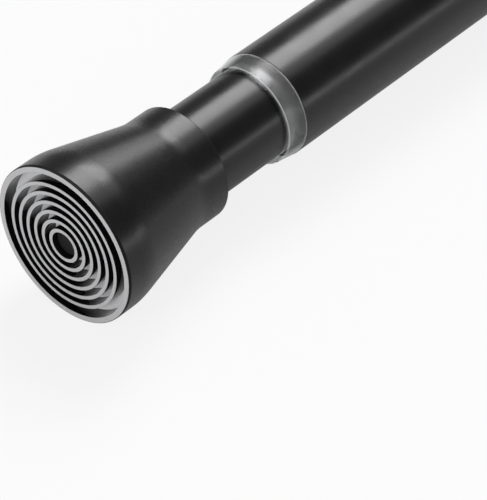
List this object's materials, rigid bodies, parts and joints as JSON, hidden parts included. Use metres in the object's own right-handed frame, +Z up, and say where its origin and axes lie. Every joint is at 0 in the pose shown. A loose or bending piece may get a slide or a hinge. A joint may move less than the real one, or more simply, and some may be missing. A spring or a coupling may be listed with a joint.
{
  "type": "spring tension rod",
  "caption": "Telescopic black rod that wedges between two walls: flared ring-tread end caps, clear guide collar, inner spring and twist lock.",
  "frame": {"origin": "centre of the outer tube's wall face, on the rod's axis", "axes": "+X along the rod, out of the outer tube's wall face; the inner tube's wall face looks to -X; +Z up"},
  "size_m": [0.4, 0.0326, 0.0326],
  "materials": {
    "tube_coating": "black semi-gloss coating on thin steel tube",
    "cap_plastic": "black moulded plastic with a satin sheen",
    "pad_rubber": "rubber tread, pale grey on its flat faces and black in its grooves",
    "clear_plastic": "clear moulded plastic",
    "spring_steel": "oiled spring steel",
    "plated_steel": "bright zinc plate",
    "lock_plastic": "natural moulded nylon",
    "ring_rubber": "black rubber"
  },
  "bodies": {
    "outer": {"outer_tube": "tube_coating", "clear_collar": "clear_plastic", "outer_end_cap": "cap_plastic", "outer_grip_pad": "pad_rubber"},
    "expander": {"expander_sleeve": "lock_plastic", "friction_ring_front": "ring_rubber", "friction_ring_rear": "ring_rubber"},
    "wedge": {"wedge_nut": "lock_plastic"},
    "screw": {"plunger": "lock_plastic", "cross_pin": "plated_steel", "lock_screw": "plated_steel", "stop_washer": "plated_steel", "retaining_clip": "spring_steel", "thrust_washer": "plated_steel", "compression_spring": "spring_steel"},
    "inner": {"inner_tube": "tube_coating", "inner_end_cap": "cap_plastic", "inner_grip_pad": "pad_rubber", "spring_seat": "lock_plastic", "seat_pin": "plated_steel"}
  },
  "joints": [
    {"name": "tube_extension", "type": "slide", "parent": "outer", "child": "expander", "axis": [-1, 0, 0], "range_m": [0, 0.244]},
    {"name": "lock_twist", "type": "hinge", "parent": "expander", "child": "screw", "pos_m": [-0.0357, 0, 0], "axis": [1, 0, 0], "range_deg": [0, 270]},
    {"name": "wedge_travel", "type": "slide", "parent": "expander", "child": "wedge", "axis": [-1, 0, 0], "range_m": [0, 0.0019]},
    {"name": "spring_travel", "type": "slide", "parent": "screw", "child": "inner", "axis": [1, 0, 0], "range_m": [0, 0.016], "stiffness_N_per_m": 3600, "springref_m": -0.01, "deforming": ["compression_spring"]}
  ],
  "couplings": [
    {"joint": "wedge_travel", "follows": "lock_twist", "m_per_rad": 0.00039789}
  ]
}
